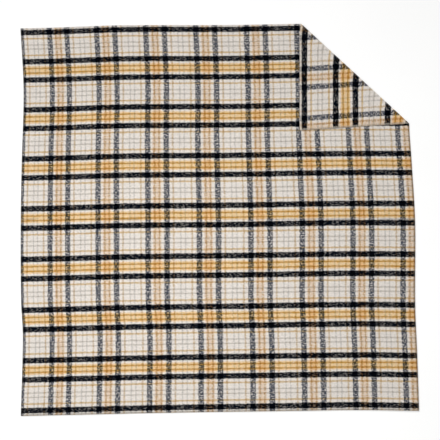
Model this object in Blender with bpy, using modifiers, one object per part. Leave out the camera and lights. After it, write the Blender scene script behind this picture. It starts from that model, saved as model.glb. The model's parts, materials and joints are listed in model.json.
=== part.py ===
"""Camp blanket, laid flat with its top right corner folded over.

The blanket is one woven plaid cloth, cut almost square, with an overlock seam wrapped round its cut
edge. The seam squeezes the brushed cloth, so the cloth ends in a thin tongue inside the thread. The
cloth is divided only where it folds: into thirds across its length, and along the diagonal of the
folded corner. Every piece is drawn flat, and the corner is then turned over on its own hinge.

Cloth points are (u, v): u runs along the width from the left cut edge, v runs down the length from
the top cut edge. +X is the width, +Y points at the top edge, +Z is up, and the underside rests on
z = 0. All sizes are in metres.
"""
import math

import bmesh
import bpy
from mathutils import Vector

# The cloth, as it was cut
CLOTH_WIDTH = 1.513
CLOTH_LENGTH = 1.488
CLOTH_THICKNESS = 0.0030

# The corner that lies folded over: its two legs, and the air under it
CORNER_ALONG_TOP = 0.414
CORNER_ALONG_SIDE = 0.401
CORNER_AIR = 0.0006
CORNER_PULL = 0.105  # how far the corner is pulled askew, as a share of its depth
CORNER_SLIDE = 0.0045  # how far it has slid sideways besides, from a little way past the crease
SLIDE_START = 0.025

# The overlock seam: how far it reaches in from the cut edge, and its layer of thread
SEAM_WIDTH = 0.0060
SEAM_THREAD = 0.0005

# Air left inside the soft folds that lay the thirds on each other
FOLD_AIR = 0.0050
STACK_CLEARANCE = 0.0020

# The lower third is folded this much short, so that its seam stays inside the upper fold
TUCK = 0.0100

# Clearance between pieces that touch on the real blanket
GAP = 0.0003

# How the edges wander from a true rectangle as the blanket lies: (share of the edge, drift)
TOP_DRIFT = ((0, -0.011), (0.10, -0.008), (0.28, 0.001), (0.55, 0.002), (0.725, 0.007), (1, 0.011))
BOTTOM_DRIFT = ((0, -0.006), (0.15, -0.001), (0.40, 0.007), (0.65, 0.013), (0.85, 0.017), (1, 0.014))
LEFT_DRIFT = (
    (0, -0.007), (0.17, 0.005), (0.35, -0.002), (0.50, -0.006), (0.70, -0.005), (0.80, 0.002), (1, -0.006),
)
RIGHT_DRIFT = (
    (0, -0.040), (0.28, -0.032), (0.35, -0.025), (0.52, -0.010), (0.73, -0.010), (0.84, -0.003),
    (1, 0.005),
)

# The cloth lies a little denser towards its top left corner: (strength, falloff) along u and v
EASE_WIDTH = (0.031, 2)
EASE_LENGTH = (0.0165, 1)

OUTLINE_STEP = 0.05  # spacing of the points along an edge

CREAM = (0.80, 0.73, 0.64)
SAND = (0.74, 0.64, 0.52)
GOLD = (0.60, 0.38, 0.13)
CHARCOAL = (0.05, 0.05, 0.07)
ECRU = (0.84, 0.80, 0.74)

UP = Vector((0, 0, 1))
MIDDLE_Z = CLOTH_THICKNESS / 2
SLOT_HEIGHT = CLOTH_THICKNESS - 2 * SEAM_THREAD
TONGUE_HEIGHT = SLOT_HEIGHT - 2 * GAP
OVERHANG = GAP + SEAM_THREAD  # how far the thread stands out past the cut edge


def drift(points, share):
    """Smooth curve through (share, drift) points, with the slope at each taken from its neighbours."""
    last = len(points) - 1
    start = 0
    while start < last - 1 and share > points[start + 1][0]:
        start += 1

    def slope(index):
        before = points[max(index - 1, 0)]
        after = points[min(index + 1, last)]
        return (after[1] - before[1]) / (after[0] - before[0])

    (share_a, drift_a), (share_b, drift_b) = points[start], points[start + 1]
    span = share_b - share_a
    t = (share - share_a) / span
    rise = slope(start) * span * (t ** 3 - 2 * t ** 2 + t) + slope(start + 1) * span * (t ** 3 - t ** 2)
    return rise + drift_a * (2 * t ** 3 - 3 * t ** 2 + 1) + drift_b * (3 * t ** 2 - 2 * t ** 3)


def ease(share, strength, falloff):
    """Move a share of the cloth towards its start, most of all near the start."""
    return share - strength * math.sin(math.pi * share) * (1 - share) ** falloff


def laid(u, v):
    """Place a cloth point on the ground."""
    across, down = u / CLOTH_WIDTH, v / CLOTH_LENGTH
    left = -CLOTH_WIDTH / 2 + drift(LEFT_DRIFT, down)
    right = CLOTH_WIDTH / 2 + drift(RIGHT_DRIFT, down)
    top = CLOTH_LENGTH / 2 + drift(TOP_DRIFT, across)
    bottom = -CLOTH_LENGTH / 2 + drift(BOTTOM_DRIFT, across)
    x = left + (right - left) * ease(across, *EASE_WIDTH)
    y = top + (bottom - top) * ease(down, *EASE_LENGTH)
    return Vector((x, y, 0))


# The corner's crease runs from the top edge to the right edge
CREASE_TOP = laid(CLOTH_WIDTH - CORNER_ALONG_TOP, 0)
CREASE_SIDE = laid(CLOTH_WIDTH, CORNER_ALONG_SIDE)
CREASE_ALONG = (CREASE_TOP - CREASE_SIDE).normalized()
CREASE_OUT = CREASE_ALONG.cross(UP)  # level, towards the corner

# Hinge of each fold: a point on its axis, and the axis direction that opens or closes it upwards
UPPER_CREASE_Y = CLOTH_LENGTH / 6
LOWER_CREASE_Y = -CLOTH_LENGTH / 6 - TUCK
CORNER_AXIS_Z = CLOTH_THICKNESS + CORNER_AIR / 2
LOWER_AXIS_Z = CLOTH_THICKNESS + FOLD_AIR / 2
UPPER_AXIS_Z = LOWER_AXIS_Z + CORNER_AXIS_Z + STACK_CLEARANCE / 2
CORNER_PIVOT = (CREASE_TOP + CREASE_SIDE) / 2 + UP * CORNER_AXIS_Z
UPPER_PIVOT = Vector((0, UPPER_CREASE_Y, UPPER_AXIS_Z))
LOWER_PIVOT = Vector((0, LOWER_CREASE_Y, LOWER_AXIS_Z))

# Planes that bound each body: what lies on the side that a plane's normal points to is cut away
ABOVE_UPPER = (Vector((0, UPPER_CREASE_Y - GAP / 2, 0)), Vector((0, 1, 0)))
BELOW_UPPER = (Vector((0, UPPER_CREASE_Y + GAP / 2, 0)), Vector((0, -1, 0)))
ABOVE_LOWER = (Vector((0, LOWER_CREASE_Y - GAP / 2, 0)), Vector((0, 1, 0)))
BELOW_LOWER = (Vector((0, LOWER_CREASE_Y + GAP / 2, 0)), Vector((0, -1, 0)))
BEYOND_CREASE = (CREASE_TOP - CREASE_OUT * GAP / 2, CREASE_OUT)
WITHIN_CREASE = (CREASE_TOP + CREASE_OUT * GAP / 2, -CREASE_OUT)

# Extent of the whole cloth's brushed face and of its squeezed tongue: (u0, u1, v0, v1)
FACE = (SEAM_WIDTH, CLOTH_WIDTH - SEAM_WIDTH, SEAM_WIDTH, CLOTH_LENGTH - SEAM_WIDTH)
TONGUE = (0, CLOTH_WIDTH, 0, CLOTH_LENGTH)

# Each edge's seam as the extent of its thread and of the slot that the tongue fills
FAR_U = CLOTH_WIDTH + OVERHANG
FAR_V = CLOTH_LENGTH + OVERHANG
REACH = SEAM_WIDTH - GAP
THROUGH = SEAM_WIDTH + OVERHANG
SEAMS = {
    "left": (
        (-OVERHANG, REACH, -OVERHANG, FAR_V),
        (-GAP, THROUGH, -GAP, CLOTH_LENGTH + GAP),
    ),
    "right": (
        (CLOTH_WIDTH - REACH, FAR_U, -OVERHANG, FAR_V),
        (CLOTH_WIDTH - THROUGH, CLOTH_WIDTH + GAP, -GAP, CLOTH_LENGTH + GAP),
    ),
    "top": (
        (SEAM_WIDTH, CLOTH_WIDTH - SEAM_WIDTH, -OVERHANG, REACH),
        (0, CLOTH_WIDTH, -GAP, THROUGH),
    ),
    "bottom": (
        (SEAM_WIDTH, CLOTH_WIDTH - SEAM_WIDTH, CLOTH_LENGTH - REACH, FAR_V),
        (0, CLOTH_WIDTH, CLOTH_LENGTH - THROUGH, CLOTH_LENGTH + GAP),
    ),
}


def clear_scene():
    """Start from an empty scene."""
    for obj in list(bpy.data.objects):
        bpy.data.objects.remove(obj, do_unlink=True)


def new_collection(name):
    collection = bpy.data.collections.new(name)
    bpy.context.scene.collection.children.link(collection)
    return collection


def new_material(name, colour, roughness):
    material = bpy.data.materials.new(name)
    material.use_nodes = True
    shader = material.node_tree.nodes["Principled BSDF"]
    shader.inputs["Base Color"].default_value = (*colour, 1)
    shader.inputs["Roughness"].default_value = roughness
    shader.inputs["Metallic"].default_value = 0
    return material


def pull_corner(point):
    """Move a point of the turned corner along +Y, further the more it lies beyond the crease."""
    beyond = (point - CREASE_TOP).dot(CREASE_OUT)
    slide = CORNER_SLIDE * min(beyond / SLIDE_START, 1)
    return point + Vector((0, CORNER_PULL * beyond + slide, 0))


def cut_away(sheet, point, normal):
    """Cut a sheet along a plane and remove what lies on the side that the normal points to."""
    geometry = sheet.verts[:] + sheet.edges[:] + sheet.faces[:]
    bmesh.ops.bisect_plane(sheet, geom=geometry, plane_co=point, plane_no=normal, clear_outer=True)


def flat_sheet(name, extent, planes, pulled):
    """Mesh of one flat piece of the laid cloth, cut to the side of each plane that it lies on.

    Every piece is cut from the same grid, one cell larger than the cloth all round, so that the
    curved edges of neighbouring pieces bend at the same cloth points and keep their gap.
    """
    u0, u1, v0, v1 = extent
    columns = round(CLOTH_WIDTH / OUTLINE_STEP)
    rows = round(CLOTH_LENGTH / OUTLINE_STEP)
    sheet = bmesh.new()
    bmesh.ops.create_grid(sheet, x_segments=columns + 2, y_segments=rows + 2, size=0.5)
    for vert in sheet.verts:
        u = CLOTH_WIDTH * (0.5 + vert.co.x * (columns + 2) / columns)
        v = CLOTH_LENGTH * (0.5 - vert.co.y * (rows + 2) / rows)
        vert.co = (u, -v, 0)
    sides = (
        ((u0, 0, 0), (-1, 0, 0)),
        ((u1, 0, 0), (1, 0, 0)),
        ((0, -v0, 0), (0, 1, 0)),
        ((0, -v1, 0), (0, -1, 0)),
    )
    for point, normal in sides:
        cut_away(sheet, point, normal)
    for vert in sheet.verts:
        vert.co = laid(vert.co.x, -vert.co.y)
    for point, normal in planes:
        cut_away(sheet, point, normal)
    if pulled:
        for vert in sheet.verts:
            vert.co = pull_corner(vert.co)
    straight = math.radians(0.001)
    bmesh.ops.dissolve_limit(sheet, angle_limit=straight, verts=sheet.verts, edges=sheet.edges)
    mesh = bpy.data.meshes.new(name)
    sheet.to_mesh(mesh)
    sheet.free()
    return mesh


def slab(name, extent, height, planes, pulled, collection):
    """A flat sheet thickened equally up and down from the cloth's middle surface."""
    obj = bpy.data.objects.new(name, flat_sheet(name, extent, planes, pulled))
    obj.location.z = MIDDLE_Z
    collection.objects.link(obj)
    solidify = obj.modifiers.new("thickness", "SOLIDIFY")
    solidify.thickness = height
    solidify.offset = 0
    return obj


def combine(obj, other, operation):
    """Join another solid to obj, or cut it away; the other one moves with obj."""
    other.parent = obj
    other.location.z = 0
    other.hide_render = True
    other.display_type = "WIRE"
    boolean = obj.modifiers.new(operation.lower(), "BOOLEAN")
    boolean.operation = operation
    boolean.solver = "EXACT"
    boolean.object = other


def make_cloth(name, planes, pulled, colour, parts, cutters):
    """One stretch of the brushed cloth, with its thin tongue along every cut edge."""
    cloth = slab(name, FACE, CLOTH_THICKNESS, planes, pulled, parts)
    tongue = slab(name + "_tongue", TONGUE, TONGUE_HEIGHT, planes, pulled, cutters)
    combine(cloth, tongue, "UNION")
    cloth.data.materials.append(new_material(name, colour, 0.95))
    return cloth


def make_seam(name, edge, planes, pulled, parts, cutters):
    """One stretch of overlock thread: a bar round the cut edge, open inwards for the tongue."""
    thread, slot = SEAMS[edge]
    seam = slab(name, thread, CLOTH_THICKNESS, planes, pulled, parts)
    cutter = slab(name + "_slot", slot, SLOT_HEIGHT, [], pulled, cutters)
    combine(seam, cutter, "DIFFERENCE")
    seam.data.materials.append(new_material(name, ECRU, 0.8))
    return seam


def hinge(name, pivot, axis, angle, children, collection):
    """An empty on a fold's axis that carries the pieces which turn on it."""
    empty = bpy.data.objects.new(name, None)
    empty.location = pivot
    empty.rotation_mode = "AXIS_ANGLE"
    empty.empty_display_size = 0.05
    collection.objects.link(empty)
    bpy.context.view_layer.update()
    for child in children:
        child.parent = empty
        child.matrix_parent_inverse = empty.matrix_world.inverted()
    empty.rotation_axis_angle = (angle, *axis)
    return empty


def make_body(title, planes, edges, colour, parts, cutters, pulled=False):
    """All the pieces of one body: its stretch of cloth and the seam along each of its cut edges."""
    pieces = [make_cloth(f"{title}_cloth", planes, pulled, colour, parts, cutters)]
    for edge in edges:
        pieces.append(make_seam(f"seam_{title}_{edge}", edge, planes, pulled, parts, cutters))
    return pieces


def make_blanket():
    clear_scene()
    parts = new_collection("camp_blanket")
    cutters = new_collection("cutters")

    make_body("middle", [ABOVE_UPPER, BELOW_LOWER], ["left", "right"], CREAM, parts, cutters)
    lower = make_body("lower", [ABOVE_LOWER], ["left", "right", "bottom"], SAND, parts, cutters)
    upper = make_body(
        "upper", [BELOW_UPPER, BEYOND_CREASE], ["left", "right", "top"], GOLD, parts, cutters
    )
    corner = make_body(
        "corner", [WITHIN_CREASE], ["right", "top"], CHARCOAL, parts, cutters, pulled=True
    )

    hinge("lower_fold", LOWER_PIVOT, Vector((-1, 0, 0)), 0, lower, parts)
    upper_fold = hinge("upper_fold", UPPER_PIVOT, Vector((1, 0, 0)), 0, upper, parts)
    corner_fold = hinge("corner_fold", CORNER_PIVOT, CREASE_ALONG, math.pi, corner, parts)
    corner_fold.parent = upper_fold
    corner_fold.matrix_parent_inverse = upper_fold.matrix_world.inverted()


make_blanket()
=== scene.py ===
"""Looks of a woven plaid camp blanket that lies flat with its top right corner turned over.

The cloth is rebuilt as a soft sheet that ripples a little and rounds over at the turned corner, and
its cut edge is bound with real loops of overlock thread. Cloth points are (u, v): u runs along the
width from the left cut edge, v down the length from the top cut edge. Lengths are in metres.
"""
import json
import math
import random

import bmesh
import bpy
from mathutils import Matrix, Vector


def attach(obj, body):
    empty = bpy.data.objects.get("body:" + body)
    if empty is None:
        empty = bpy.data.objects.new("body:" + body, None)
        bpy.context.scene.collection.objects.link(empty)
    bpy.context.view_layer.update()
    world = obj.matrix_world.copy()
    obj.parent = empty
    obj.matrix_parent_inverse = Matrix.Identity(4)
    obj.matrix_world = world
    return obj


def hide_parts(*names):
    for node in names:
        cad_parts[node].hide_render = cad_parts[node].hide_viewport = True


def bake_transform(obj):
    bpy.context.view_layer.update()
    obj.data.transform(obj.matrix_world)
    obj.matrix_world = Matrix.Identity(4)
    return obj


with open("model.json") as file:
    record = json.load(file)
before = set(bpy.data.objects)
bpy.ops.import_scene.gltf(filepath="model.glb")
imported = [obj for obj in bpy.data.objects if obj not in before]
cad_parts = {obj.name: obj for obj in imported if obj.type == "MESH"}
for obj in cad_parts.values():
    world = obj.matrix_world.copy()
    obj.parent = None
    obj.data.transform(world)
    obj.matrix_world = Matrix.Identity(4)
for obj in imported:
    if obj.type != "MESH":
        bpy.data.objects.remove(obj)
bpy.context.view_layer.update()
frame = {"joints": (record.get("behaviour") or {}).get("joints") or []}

UP = Vector((0, 0, 1))
MM = 0.001

# The cloth as it was cut, and how its edges wander from a true rectangle: (share of the edge, drift)
WIDTH = 1.513
LENGTH = 1.488
TOP_DRIFT = ((0, -0.011), (0.10, -0.008), (0.28, 0.001), (0.55, 0.002), (0.725, 0.007), (1, 0.011))
BOTTOM_DRIFT = ((0, -0.006), (0.15, -0.001), (0.40, 0.007), (0.65, 0.013), (0.85, 0.017), (1, 0.014))
LEFT_DRIFT = (
    (0, -0.007), (0.17, 0.005), (0.35, -0.002), (0.50, -0.006), (0.70, -0.005), (0.80, 0.002), (1, -0.006),
)
RIGHT_DRIFT = (
    (0, -0.040), (0.28, -0.032), (0.35, -0.025), (0.52, -0.010), (0.73, -0.010), (0.84, -0.003),
    (1, 0.005),
)
EASE_WIDTH = (0.031, 2)
EASE_LENGTH = (0.0165, 1)
CORNER_PULL = 0.105  # skew of the turned corner, as a share of its depth
CORNER_SLIDE = 0.0045  # its slip sideways besides, from a little way past the crease
SLIDE_START = 0.025

# The folds, from the frame's joints
JOINTS = {joint["name"]: joint for joint in frame["joints"]}
CREASE_POINT = Vector(JOINTS["corner_fold"]["pos_m"])
CREASE_ALONG = Vector(JOINTS["corner_fold"]["axis"]).normalized()
CREASE_OUT = CREASE_ALONG.cross(UP)
LOWER_PIVOT = Vector(JOINTS["lower_fold"]["pos_m"])
UPPER_PIVOT = Vector(JOINTS["upper_fold"]["pos_m"])

# Thickness of the cloth and the heights of its middle surface, flat and in the turned corner
THICKNESS = 2.5 * MM
BOUND_SHARE = 0.5  # how thin the seam squeezes the cloth at its cut edge
SQUEEZED_WIDTH = 14 * MM
FLAT_Z = THICKNESS / 2 + 0.3 * MM
CORNER_SETTLE = 1.3 * MM  # room for the turned corner's ripples when it is opened flat again
TURNED_Z = 2 * CREASE_POINT.z - THICKNESS / 2 - CORNER_SETTLE
BEND_RADIUS = (TURNED_Z - FLAT_Z) / 2

CELL = 10 * MM  # spacing of the cloth's own mesh
BEND_STEPS = 8
FOLD_STEPS = 5

# Soft ripples, as waves of (direction in degrees, length, share), and their heights
RIPPLES = ((12, 0.47, 1.0), (63, 0.31, 0.8), (131, 0.38, 0.9), (97, 0.19, 0.4), (28, 0.23, 0.35))
RIPPLE_HEIGHT = 2.5 * MM
CORNER_RIPPLE_HEIGHT = 1.1 * MM
CALM_WIDTH = 0.12  # beside the corner's crease, where the ripples rise from nothing
LOW_WIDTH = 0.26  # beside the crease, where they stay as low as in the turned corner
GROW_WIDTH = 0.22  # past that, where they grow to their full height

# Overlock seam
SEAM_WIDTH = 6 * MM
STITCH_LENGTH = 4 * MM
FACE_THREAD = 0.4 * MM
REVERSE_THREAD = 1.0 * MM
FACE_SINK = 0.62  # height of each side's thread, as a share of half the cloth's thickness
REVERSE_SINK = 0.75
LOOP_SLACK = 0.7 * MM  # how far the loops stand off the cut edge
STITCH_SLANT = 1.8 * MM
STITCH_SWAY = 9  # degrees that a stitch may lean either way
STITCH_REACH = (0.9, 1.08)  # least and most of a stitch's width, as shares
LINE_SHARE = 0.84  # how much of its length a straight stitch shows
CHAIN_SHARE = 0.35  # place of the reverse's second line, as a share of the seam's width
THREAD_SIDES = 5


def smoothstep(value):
    t = min(max(value, 0.0), 1.0)
    return t * t * (3 - 2 * t)


def drift(points, share):
    """Smooth curve through (share, drift) points, with the slope at each taken from its neighbours."""
    last = len(points) - 1
    start = 0
    while start < last - 1 and share > points[start + 1][0]:
        start += 1

    def slope(index):
        before = points[max(index - 1, 0)]
        after = points[min(index + 1, last)]
        return (after[1] - before[1]) / (after[0] - before[0])

    (share_a, drift_a), (share_b, drift_b) = points[start], points[start + 1]
    span = share_b - share_a
    t = (share - share_a) / span
    rise = slope(start) * span * (t ** 3 - 2 * t ** 2 + t) + slope(start + 1) * span * (t ** 3 - t ** 2)
    return rise + drift_a * (2 * t ** 3 - 3 * t ** 2 + 1) + drift_b * (3 * t ** 2 - 2 * t ** 3)


def ease(share, strength, falloff):
    """Move a share of the cloth towards its start, most of all near the start."""
    return share - strength * math.sin(math.pi * share) * (1 - share) ** falloff


def laid(u, v):
    """Place a cloth point flat on the ground."""
    across, down = u / WIDTH, v / LENGTH
    left = -WIDTH / 2 + drift(LEFT_DRIFT, down)
    right = WIDTH / 2 + drift(RIGHT_DRIFT, down)
    top = LENGTH / 2 + drift(TOP_DRIFT, across)
    bottom = -LENGTH / 2 + drift(BOTTOM_DRIFT, across)
    x = left + (right - left) * ease(across, *EASE_WIDTH)
    y = top + (bottom - top) * ease(down, *EASE_LENGTH)
    return Vector((x, y, 0))


def beyond_crease(point):
    """Level distance of a flat point past the corner's crease, towards the corner's tip."""
    return (point - CREASE_POINT).dot(CREASE_OUT)


def ripple(point):
    """Height of the cloth's soft ripples at a point, zero along the corner's crease."""
    distance = abs(beyond_crease(point))
    total = 0
    for direction, length, share in RIPPLES:
        angle = math.radians(direction)
        run = point.x * math.cos(angle) + point.y * math.sin(angle)
        total += share * math.sin(2 * math.pi * run / length + direction)
    level = 0.5 + 0.5 * total / sum(share for _, _, share in RIPPLES)
    away = smoothstep((distance - LOW_WIDTH) / GROW_WIDTH)
    height = CORNER_RIPPLE_HEIGHT + (RIPPLE_HEIGHT - CORNER_RIPPLE_HEIGHT) * away
    return height * level * smoothstep(distance / CALM_WIDTH)


def lie(point):
    """Middle surface of the cloth over a flat point: rippled, and turned over beyond the crease."""
    beyond = beyond_crease(point)
    if beyond <= -BEND_RADIUS:
        return Vector((point.x, point.y, FLAT_Z + ripple(point)))
    slide = CORNER_SLIDE * min(max(beyond, 0) / SLIDE_START, 1)
    pulled = point + Vector((0, CORNER_PULL * max(beyond, 0) + slide, 0))
    travel = beyond_crease(pulled) + BEND_RADIUS
    bend = min(travel / BEND_RADIUS, math.pi)
    past_bend = max(travel - math.pi * BEND_RADIUS, 0)
    out = BEND_RADIUS * (math.sin(bend) - 1) - past_bend
    along = (pulled - CREASE_POINT).dot(CREASE_ALONG)
    spot = CREASE_POINT + CREASE_ALONG * along + CREASE_OUT * out
    height = FLAT_Z + BEND_RADIUS * (1 - math.cos(bend))
    return Vector((spot.x, spot.y, height + (ripple(spot) if past_bend else 0)))


def cloth_point(u, v):
    return lie(laid(u, v))


# Colours and materials


def srgb(code, alpha=1.0):
    """Linear colour of an sRGB hex code such as "e8dccb"."""
    channels = [int(code[i:i + 2], 16) / 255 for i in (0, 2, 4)]
    return (*[c / 12.92 if c <= 0.04045 else ((c + 0.055) / 1.055) ** 2.4 for c in channels], alpha)


def add(tree, kind, sockets=None, **settings):
    """Add a node with its settings; each socket gets a value, or a link where an output is given."""
    node = tree.nodes.new(kind)
    for name, value in settings.items():
        setattr(node, name, value)
    for key, value in (sockets or {}).items():
        if isinstance(value, bpy.types.NodeSocket):
            tree.links.new(value, node.inputs[key])
        else:
            node.inputs[key].default_value = value
    return node


def math_node(tree, operation, *values):
    return add(tree, "ShaderNodeMath", dict(enumerate(values)), operation=operation).outputs[0]


def vector_math(tree, operation, *values):
    return add(tree, "ShaderNodeVectorMath", dict(enumerate(values)), operation=operation).outputs[0]


def map_range(tree, value, low, high, new_low, new_high):
    sockets = {0: value, 1: low, 2: high, 3: new_low, 4: new_high}
    return add(tree, "ShaderNodeMapRange", sockets).outputs[0]


def noise(tree, place, grain, detail, roughness=0.5):
    """Outputs of a noise whose patches are about `grain` millimetres across."""
    sockets = {"Vector": place, "Scale": 1 / (grain * MM), "Detail": detail, "Roughness": roughness}
    return add(tree, "ShaderNodeTexNoise", sockets).outputs


def mix_colours(tree, blend_type, factor, first, second):
    sockets = {0: factor, 6: first, 7: second}
    return add(tree, "ShaderNodeMix", sockets, data_type="RGBA", blend_type=blend_type).outputs[2]


def new_material(name):
    material = bpy.data.materials.new(name)
    material.use_nodes = True
    tree = material.node_tree
    return material, tree, tree.nodes["Principled BSDF"]


# One repeat of each sett, from the start of a dark stripe: (start, width, colour), in millimetres
WARP_REPEAT = 192.0
WARP_START = -8.4  # cloth place of the first repeat
WARP_GROUND = "ffffff"
WARP = (
    (0.0, 20.5, "4d5667"),
    (31.7, 6.6, "dfceb3"),
    (59.6, 4.8, "dadad9"),
    (76.6, 4.8, "dadad9"),
    (101.2, 6.6, "dfceb3"),
    (120.5, 21.0, "4d5667"),
    (150.0, 3.7, "f9e8d4"),
    (153.7, 6.2, "d1af80"),
    (159.9, 11.3, "f9e8d4"),
    (171.2, 6.2, "d1af80"),
    (177.4, 3.6, "f9e8d4"),
)
WEFT_REPEAT = 190.5
WEFT_START = 6.5
WEFT_GROUND = "ddd6cf"
WEFT = (
    (0.0, 21.5, "030a14"),
    (32.2, 6.6, "c4ab84"),
    (58.6, 4.8, "bdb5ab"),
    (75.1, 4.8, "bdb5ab"),
    (99.7, 6.6, "c4ab84"),
    (117.5, 21.0, "030a14"),
    (146.5, 5.7, "e0c397"),
    (152.2, 6.6, "b98c43"),
    (158.8, 11.6, "e0c397"),
    (170.4, 6.6, "b98c43"),
    (177.0, 5.0, "e0c397"),
)


# Yarn crossings along the width and the length. They are drawn about twice their real size, because
# real ones of 1 mm would blur to one grey from afar.
YARNS = (2.4 * MM, 1.6 * MM)
WOBBLE = 2.4 * MM  # how far a yarn strays from its straight line
FRAY = 3 * MM  # how wide the edge of a stripe is frayed
RIB = 3.2 * MM  # spacing of the twill line


def sett(tree, place, repeat, start, ground, stripes):
    """Colour of the stripes at a cloth place in metres."""
    turns = math_node(tree, "DIVIDE", math_node(tree, "SUBTRACT", place, start * MM), repeat * MM)
    node = add(tree, "ShaderNodeValToRGB", {0: math_node(tree, "FRACT", turns)})
    ramp = node.color_ramp
    ramp.interpolation = "CONSTANT"
    stops = {round(begin + width, 3): ground for begin, width, _ in stripes}
    stops |= {begin: colour for begin, _, colour in stripes}
    ramp.elements.remove(ramp.elements[1])
    ramp.elements[0].color = srgb(stops.pop(0.0))
    for stop, colour in sorted(stops.items()):
        ramp.elements.new(stop / repeat).color = srgb(colour)
    return node.outputs[0]


def plaid_material():
    """Brushed wool-blend plaid: matt, with a short raised nap that catches light at grazing angles."""
    material, tree, shader = new_material("brushed_wool_blend_plaid")
    place = add(tree, "ShaderNodeUVMap", uv_map="cloth").outputs[0]

    # Each yarn crossing takes its colour from a place a little way off, which frays every stripe
    bent = noise(tree, place, 3.0, 1.0)["Color"]
    wobble = vector_math(tree, "MULTIPLY_ADD", bent, (WOBBLE,) * 3, (-WOBBLE / 2,) * 3)
    crossing = vector_math(tree, "SNAP", vector_math(tree, "ADD", place, wobble), (*YARNS, 1.0))
    chance = add(tree, "ShaderNodeTexWhiteNoise", {"Vector": crossing}, noise_dimensions="3D")
    centre = ((YARNS[0] - FRAY) / 2, (YARNS[1] - FRAY) / 2, 0.0)
    fray = vector_math(tree, "MULTIPLY_ADD", chance.outputs["Color"], (FRAY,) * 3, centre)
    frayed = vector_math(tree, "ADD", crossing, fray)
    axes = add(tree, "ShaderNodeSeparateXYZ", {0: frayed})
    warp = sett(tree, axes.outputs[0], WARP_REPEAT, WARP_START, WARP_GROUND, WARP)
    weft = sett(tree, axes.outputs[1], WEFT_REPEAT, WEFT_START, WEFT_GROUND, WEFT)

    # Heathered yarn and floats: patches of a few yarns, where the weft or the warp shows more. More of
    # the weft lies on top, so the patches are twice as long across the cloth as along it.
    drawn_out = vector_math(tree, "MULTIPLY", place, (0.68, 1.35, 1.0))
    heather = noise(tree, drawn_out, 5.5, 2.0, 0.6)
    flecks = add(tree, "ShaderNodeSeparateXYZ", {0: heather["Color"]}).outputs
    weft_floats = map_range(tree, flecks[0], 0.49, 0.62, 0.0, 0.80)
    warp_floats = map_range(tree, flecks[1], 0.51, 0.64, 0.0, 0.24)
    woven = mix_colours(tree, "MULTIPLY", 1.0, weft, warp)
    shown = mix_colours(tree, "MIX", weft_floats, woven, weft)
    deep_warp = mix_colours(tree, "MULTIPLY", 1.0, warp, warp)
    pale_warp = mix_colours(tree, "MULTIPLY", 1.0, deep_warp, srgb(WEFT_GROUND))
    shown = mix_colours(tree, "MIX", warp_floats, shown, pale_warp)

    # Twill line of the weave, across the yarns on the slant, and the nap and the patches over it
    plain = add(tree, "ShaderNodeSeparateXYZ", {0: place})
    diagonal = math_node(tree, "ADD", plain.outputs[0], plain.outputs[1])
    rib = math_node(tree, "SINE", math_node(tree, "MULTIPLY", diagonal, 2 * math.pi / RIB))
    nap = noise(tree, place, 1.8, 4.0, 0.75)["Fac"]
    patch = noise(tree, place, 70, 2.0)["Fac"]
    shade = math_node(tree, "MULTIPLY_ADD", rib, 0.05, 1.0)
    shade = math_node(tree, "MULTIPLY", shade, math_node(tree, "MULTIPLY_ADD", nap, 0.30, 0.85))
    shade = math_node(tree, "MULTIPLY", shade, math_node(tree, "MULTIPLY_ADD", patch, 0.10, 0.95))
    shade = math_node(tree, "MULTIPLY", shade, math_node(tree, "MULTIPLY_ADD", flecks[2], 0.60, 0.70))
    grey = add(tree, "ShaderNodeCombineXYZ", {0: shade, 1: shade, 2: shade}).outputs[0]
    tree.links.new(mix_colours(tree, "MULTIPLY", 1.0, shown, grey), shader.inputs["Base Color"])

    height = math_node(tree, "MULTIPLY_ADD", rib, 0.35, nap)
    bump = add(tree, "ShaderNodeBump", {"Height": height, "Strength": 0.6, "Distance": 0.5 * MM})
    tree.links.new(bump.outputs[0], shader.inputs["Normal"])
    rough = map_range(tree, nap, 0.3, 0.7, 0.86, 1.0)
    tree.links.new(rough, shader.inputs["Roughness"])
    shader.inputs["Specular IOR Level"].default_value = 0.01
    shader.inputs["Sheen Weight"].default_value = 0.02
    shader.inputs["Sheen Roughness"].default_value = 0.5
    return material


def thread_material(name, dark, light):
    """Bulky textured polyester thread: soft, with fine filaments twisted round it."""
    material, tree, shader = new_material(name)
    place = add(tree, "ShaderNodeTexCoord").outputs["Object"]
    strands = noise(tree, place, 0.3, 2.0)["Fac"]  # bundles of filaments
    colour = mix_colours(tree, "MIX", strands, srgb(dark), srgb(light))
    tree.links.new(colour, shader.inputs["Base Color"])
    bump = add(tree, "ShaderNodeBump", {"Height": strands, "Strength": 0.5, "Distance": 0.1 * MM})
    tree.links.new(bump.outputs[0], shader.inputs["Normal"])
    rough = map_range(tree, strands, 0.3, 0.7, 0.6, 0.8)
    tree.links.new(rough, shader.inputs["Roughness"])
    shader.inputs["Specular IOR Level"].default_value = 0.2
    shader.inputs["Sheen Weight"].default_value = 0.1
    return material


# The cloth


def whole_cloth():
    """The whole cloth flat on the ground, with its cloth points as a UV map in metres."""
    sheet = bmesh.new()
    bmesh.ops.create_grid(sheet, x_segments=round(WIDTH / CELL), y_segments=round(LENGTH / CELL), size=0.5)
    places = sheet.loops.layers.uv.new("cloth")
    loft = sheet.verts.layers.deform.verify()
    for vert in sheet.verts:
        u, v = WIDTH * (0.5 + vert.co.x), LENGTH * (0.5 - vert.co.y)
        for loop in vert.link_loops:
            loop[places].uv = (u, v)
        edge = min(u, WIDTH - u, v, LENGTH - v)
        vert[loft][0] = smoothstep(edge / SQUEEZED_WIDTH)
        vert.co = laid(u, v)
    return sheet


def cut(sheet, point, normal, clear=False):
    """Cut a sheet along a plane; clear removes what lies on the side that the normal points to."""
    geometry = sheet.verts[:] + sheet.edges[:] + sheet.faces[:]
    bmesh.ops.bisect_plane(sheet, geom=geometry, plane_co=point, plane_no=normal, clear_outer=clear)


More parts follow.
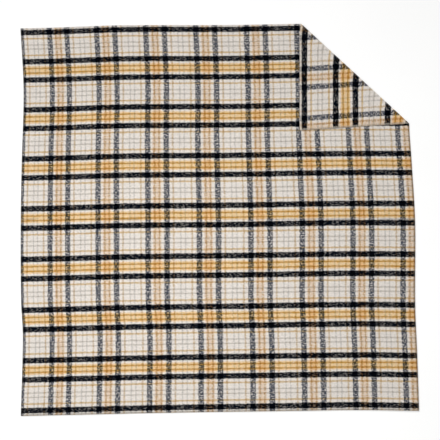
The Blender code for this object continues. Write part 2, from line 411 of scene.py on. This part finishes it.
def finished(name, shape, *materials):
    """Make a smooth object of a shape, with its materials in their order."""
    mesh = bpy.data.meshes.new(name)
    shape.to_mesh(mesh)
    shape.free()
    mesh.shade_smooth()
    for material in materials:
        mesh.materials.append(material)
    piece = bpy.data.objects.new(name, mesh)
    bpy.context.scene.collection.objects.link(piece)
    return piece


def cloth_piece(name, sheet, material):
    """Lay a flat sheet as the cloth lies, and give it its thickness."""
    for vert in sheet.verts:
        vert.co = lie(vert.co)
    piece = finished(name, sheet, material)
    group = piece.vertex_groups.new(name="loft")
    solidify = piece.modifiers.new("thickness", "SOLIDIFY")
    solidify.thickness = THICKNESS
    solidify.offset = 0
    solidify.vertex_group = group.name
    solidify.thickness_vertex_group = BOUND_SHARE
    return piece


def fold_reach(pivot):
    """Half the width of cloth that goes round a fold about this pivot."""
    return math.pi / 2 * pivot.z


def add_fold_rows(sheet, pivot):
    """Closer rows of the mesh where the cloth goes round a fold."""
    reach = fold_reach(pivot)
    for step in range(-FOLD_STEPS, FOLD_STEPS + 1):
        cut(sheet, Vector((0, pivot.y + reach * step / FOLD_STEPS, 0)), Vector((0, 1, 0)))


def make_cloth():
    material = plaid_material()
    middle = Vector((0, 0, 0))
    bend_start = CREASE_POINT - CREASE_OUT * BEND_RADIUS

    sheet = whole_cloth()
    cut(sheet, middle, Vector((0, 1, 0)), clear=True)
    add_fold_rows(sheet, LOWER_PIVOT)
    lower = cloth_piece("cloth_lower", sheet, material)

    sheet = whole_cloth()
    cut(sheet, middle, Vector((0, -1, 0)), clear=True)
    cut(sheet, bend_start, CREASE_OUT, clear=True)
    add_fold_rows(sheet, UPPER_PIVOT)
    upper = cloth_piece("cloth_upper", sheet, material)

    sheet = whole_cloth()
    cut(sheet, bend_start, -CREASE_OUT, clear=True)
    for step in range(1, BEND_STEPS + 1):
        cut(sheet, bend_start + CREASE_OUT * (math.pi * BEND_RADIUS * step / BEND_STEPS), CREASE_OUT)
    corner = cloth_piece("cloth_corner", sheet, material)

    blend_over_fold(lower)
    blend_over_fold(upper)
    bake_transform(corner)
    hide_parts("lower_cloth", "middle_cloth")
    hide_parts("upper_cloth")
    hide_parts("corner_cloth")
    return lower, upper, corner


def blend_over_fold(piece):
    """Bake a piece's placement into its mesh; the piece is not bent round a fold."""
    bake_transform(piece)


# The overlock seam


def thread_tube(loop, diameter, start, heading):
    """Start a closed tube of thread with a round face at a point, and return the face to pull on."""
    made = bmesh.ops.create_circle(loop, cap_ends=True, segments=THREAD_SIDES, radius=diameter / 2)
    turn = UP.rotation_difference(Vector(heading)).to_matrix().to_4x4()
    bmesh.ops.transform(loop, matrix=Matrix.Translation(start) @ turn, verts=made["verts"])
    return made["verts"][0].link_faces[0]


def pull(loop, face, step, swell=1):
    """Lengthen a tube by pulling its end face along a step; swell makes it thicker on the way."""
    made = bmesh.ops.extrude_face_region(loop, geom=[face])["geom"]
    end = next(item for item in made if isinstance(item, bmesh.types.BMFace))
    bmesh.ops.translate(loop, vec=step, verts=end.verts)
    centre = Matrix.Translation(-end.calc_center_median())
    bmesh.ops.scale(loop, vec=(swell, swell, swell), space=centre, verts=end.verts)
    return end


def stitch_mesh():
    """One stitch: a loop of thread round the cut edge, and the threads that hold it down.

    X runs along the edge, Y inwards from the cut edge, and Z up from the cloth's middle surface.
    The thread sinks into the nap on the face, and lies thick and full on the reverse.
    """
    edge_z = THICKNESS * BOUND_SHARE / 2 + FACE_THREAD / 2
    face_z = THICKNESS / 2 * FACE_SINK
    reverse_z = -THICKNESS / 2 * REVERSE_SINK
    half_slant = STITCH_SLANT / 2
    stitch = bmesh.new()
    end = thread_tube(stitch, FACE_THREAD, (half_slant, SEAM_WIDTH, face_z), (0, -1, 0))
    end = pull(stitch, end, Vector((-half_slant, -SEAM_WIDTH - LOOP_SLACK, edge_z - face_z)))
    made = bmesh.ops.spin(
        stitch, geom=[end], cent=(0, -LOOP_SLACK, 0), axis=(1, 0, 0), angle=math.pi, steps=4,
        use_merge=False, use_normal_flip=False, use_duplicate=False,
    )
    end = next(item for item in made["geom_last"] if isinstance(item, bmesh.types.BMFace))
    end = pull(stitch, end, Vector((0, LOOP_SLACK, 0)), REVERSE_THREAD / FACE_THREAD)
    pull(stitch, end, Vector((-half_slant, SEAM_WIDTH, edge_z + reverse_z)))
    line_length = STITCH_LENGTH * LINE_SHARE
    for diameter, inwards, z in (
        (FACE_THREAD, 1, face_z), (REVERSE_THREAD, 1, reverse_z), (REVERSE_THREAD, CHAIN_SHARE, reverse_z),
    ):
        start = (-line_length / 2, SEAM_WIDTH * inwards, z)
        line = thread_tube(stitch, diameter, start, (1, 0, 0))
        pull(stitch, line, Vector((line_length, 0, 0)))
    bmesh.ops.recalc_face_normals(stitch, faces=stitch.faces)
    for face in stitch.faces:
        face.material_index = 1 if face.calc_center_median().z > 0 else 0
    mesh = bpy.data.meshes.new("stitch")
    stitch.to_mesh(mesh)
    stitch.free()
    return mesh


def frame_at(u, v, inward):
    """Matrix at a cloth point: X along the edge, Y inwards, Z off the cloth's face."""
    probe = 0.5 * MM
    along = Vector((-inward.y, inward.x))
    ends = [cloth_point(u + way.x * probe, v + way.y * probe) for way in (inward, -inward, along, -along)]
    y_axis = (ends[0] - ends[1]).normalized()
    x_axis = (ends[2] - ends[3]).normalized()
    z_axis = x_axis.cross(y_axis).normalized()
    y_axis = z_axis.cross(x_axis)
    place = Matrix((x_axis, y_axis, z_axis)).transposed().to_4x4()
    place.translation = cloth_point(u, v)
    return place


def wrap(verts, u, v, inward):
    """Lay a stitch, drawn at the origin, round the bend of the cloth point by point."""
    along = Vector((-inward.y, inward.x))
    for vert in verts:
        spot = Vector((u, v)) + inward * vert.co.y + along * vert.co.x
        vert.co = frame_at(*spot, inward) @ Vector((0, 0, vert.co.z))


# Each cut edge: name, first and last cloth point, and the way inwards as (u, v)
EDGES = (
    ("left", (0, 0), (0, LENGTH), Vector((1, 0))),
    ("bottom", (0, LENGTH), (WIDTH, LENGTH), Vector((0, -1))),
    ("right", (WIDTH, LENGTH), (WIDTH, 0), Vector((-1, 0))),
    ("top", (WIDTH, 0), (0, 0), Vector((0, 1))),
)


def seam_stretch(edge, u, v):
    """Name of the seam piece that a cloth point on a cut edge belongs to."""
    point = laid(u, v)
    if beyond_crease(point) > BEND_RADIUS * (math.pi / 2 - 1):
        return f"overlock_corner_{edge}"
    if edge in ("left", "right"):
        return f"overlock_{edge}_upper" if point.y > 0 else f"overlock_{edge}_lower"
    return f"overlock_{edge}"


def stitch_places():
    """Where each stitch goes: its cloth point, the way inwards and its own habit, by stretch of seam."""
    random.seed(7)
    stretches = {}
    for edge, first, last, inward in EDGES:
        first, last = Vector(first), Vector(last)
        count = round((last - first).length / STITCH_LENGTH)
        for index in range(count):
            spot = first.lerp(last, (index + 0.5) / count)
            sway = Matrix.Rotation(math.radians(random.uniform(-STITCH_SWAY, STITCH_SWAY)), 4, "Z")
            reach = Matrix.Diagonal((1, random.uniform(*STITCH_REACH), 1, 1))
            stretches.setdefault(seam_stretch(edge, *spot), []).append((spot, inward, sway @ reach))
    return stretches


def sew(name, places, stitch, ecru, charcoal):
    """One stretch of seam, with every stitch laid round the cut edge."""
    seam = bmesh.new()
    for spot, inward, habit in places:
        count = len(seam.verts)
        seam.from_mesh(stitch)
        seam.verts.ensure_lookup_table()
        verts = seam.verts[count:]
        near_bend = abs(beyond_crease(laid(*spot))) < 2 * SEAM_WIDTH
        place = habit if near_bend else frame_at(*spot, inward) @ habit
        bmesh.ops.transform(seam, matrix=place, verts=verts)
        if near_bend:
            wrap(verts, *spot, inward)
    piece = finished(name, seam, ecru, charcoal)
    return piece


def make_seam():
    """All the overlock stitches, as one piece for each stretch of edge that moves together."""
    ecru = thread_material("ecru_lower_looper_thread", "b5aea1", "ece5d8")
    charcoal = thread_material("washed_charcoal_upper_looper_thread", "625d57", "948d84")
    stitch = stitch_mesh()
    places = stitch_places()
    pieces = {name: sew(name, places[name], stitch, ecru, charcoal) for name in places}
    bpy.data.meshes.remove(stitch)
    for side in ("left", "right"):
        blend_over_fold(pieces[f"overlock_{side}_lower"])
        blend_over_fold(pieces[f"overlock_{side}_upper"])
        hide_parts(f"seam_lower_{side}", f"seam_middle_{side}")
        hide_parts(f"seam_upper_{side}")
    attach(pieces["overlock_bottom"], "lower_third")
    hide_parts("seam_lower_bottom")
    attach(pieces["overlock_top"], "upper_third")
    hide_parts("seam_upper_top")
    for edge in ("top", "right"):
        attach(pieces[f"overlock_corner_{edge}"], "folded_corner")
        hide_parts(f"seam_corner_{edge}")
    return pieces


def corner_cut(edge):
    """Length of a cut edge from the corner's tip to the crease; edge gives the point at a length."""
    near, far = 0.0, LENGTH
    for _ in range(30):
        middle = (near + far) / 2
        turned = beyond_crease(edge(middle)) > 0
        near, far = (middle, far) if turned else (near, middle)
    return near


def declare_sheets():
    """Work out the lengths of the top and the right cut edges within the turned corner."""
    corner_top = corner_cut(lambda length: laid(WIDTH - length, 0))
    corner_side = corner_cut(lambda length: laid(WIDTH, length))


# The stage


def make_stage():
    material, tree, shader = new_material("pale_studio_floor")
    place = add(tree, "ShaderNodeTexCoord").outputs["Object"]
    mottle = noise(tree, place, 333, 3.0)["Fac"]
    colour = mix_colours(tree, "MIX", mottle, srgb("d0d0cf"), srgb("d6d6d5"))
    tree.links.new(colour, shader.inputs["Base Color"])
    shader.inputs["Roughness"].default_value = 0.9
    shader.inputs["Emission Color"].default_value = srgb("ffffff")
    shader.inputs["Emission Strength"].default_value = 0.40
    ground = bmesh.new()
    bmesh.ops.create_grid(ground, x_segments=1, y_segments=1, size=12)
    floor = finished("floor", ground, material)
    floor.location.z = -0.5 * MM


def make_lights():
    """Even light all round, a soft box over the middle, and a low key from the upper left."""
    world = bpy.data.worlds.new("studio")
    world.use_nodes = True
    world.node_tree.nodes["Background"].inputs["Color"].default_value = srgb("fafafa")
    world.node_tree.nodes["Background"].inputs["Strength"].default_value = 0.34
    bpy.context.scene.world = world
    box = bpy.data.lights.new("soft_box", "AREA")
    box.shape = "DISK"
    box.size = 1.2
    box.energy = 13.5
    place_light(box, Vector((-0.4, -0.2, 1.6)), Vector((-0.4, -0.2, 0)))
    key = bpy.data.lights.new("key", "SUN")
    key.energy = 2.1
    key.angle = math.radians(9)
    place_light(key, Vector((-1.4, 2.4, 1.9)), Vector((0, 0, 0)))


def place_light(light, place, target):
    lamp = bpy.data.objects.new(light.name, light)
    lamp.location = place
    lamp.rotation_euler = (target - place).to_track_quat("-Z", "Y").to_euler()
    bpy.context.scene.collection.objects.link(lamp)


def make_camera():
    """Straight above the blanket, so far off that it shows almost no perspective."""
    camera = bpy.data.cameras.new("camera")
    camera.lens = 100
    view_width = 1.6852
    distance = view_width * camera.lens / camera.sensor_width
    eye = bpy.data.objects.new("camera", camera)
    eye.location = (0, 0, distance)
    bpy.context.scene.collection.objects.link(eye)
    bpy.context.scene.camera = eye
    bpy.context.scene.view_settings.view_transform = "Standard"


cloth = make_cloth()
seams = make_seam()
declare_sheets()
make_stage()
make_lights()
make_camera()
